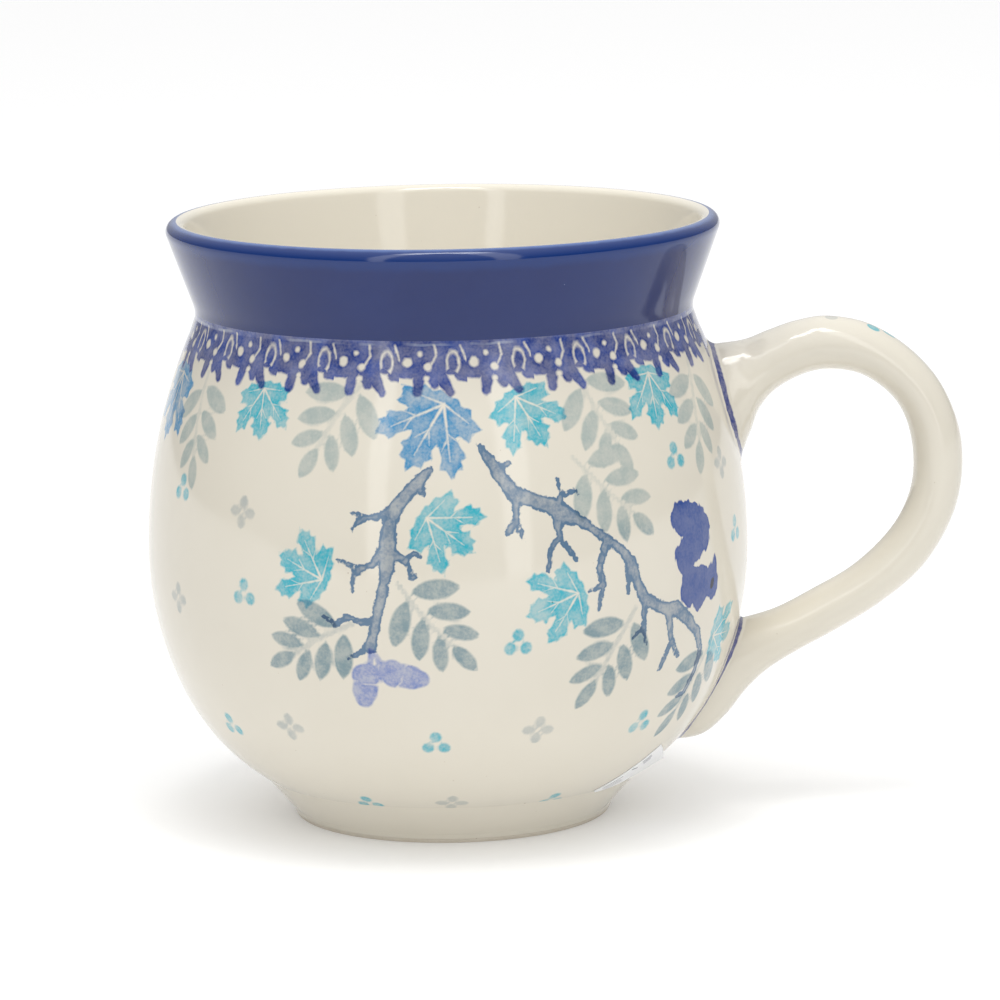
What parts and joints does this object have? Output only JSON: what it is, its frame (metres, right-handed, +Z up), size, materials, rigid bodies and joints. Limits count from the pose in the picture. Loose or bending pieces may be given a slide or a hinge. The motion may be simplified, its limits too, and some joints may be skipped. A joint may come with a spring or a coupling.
{
  "type": "round-bellied mug",
  "caption": "Round-bellied stoneware mug with a flared cobalt collar, a loop handle, a clear glaze over blue leaf and twig decoration, and a wiped foot ring.",
  "frame": {"origin": "centre of the foot ring's resting face, on the axis that the mug was turned about", "axes": "+Z up along the turning axis, +X towards the handle, -Y the side with the main decoration"},
  "size_m": [0.1357, 0.0998, 0.1],
  "materials": {
    "fired_clay": "dense cream stoneware, matt where it is bare",
    "fired_slip": "fired joining slip of the same clay",
    "clear_glaze": "glossy transparent glaze over cream stoneware with a few dark specks",
    "cobalt_glaze": "glossy glaze over a dipped cobalt blue ground",
    "decorated_glaze": "glossy glaze over stamped blue, turquoise and grey leaves, twigs and dots",
    "cobalt_line": "brushed cobalt line under gloss",
    "label_paper": "plain white sticker paper"
  },
  "bodies": {
    "root": {"stoneware_body": "fired_clay", "handle": "fired_clay", "upper_joint_slip": "fired_slip", "lower_joint_slip": "fired_slip", "liner_glaze": "clear_glaze", "collar_glaze": "cobalt_glaze", "belly_glaze": "decorated_glaze", "base_glaze": "clear_glaze", "handle_glaze": "clear_glaze", "upper_joint_line": "cobalt_line", "lower_joint_line": "cobalt_line", "paper_label": "label_paper"}
  },
  "joints": []
}
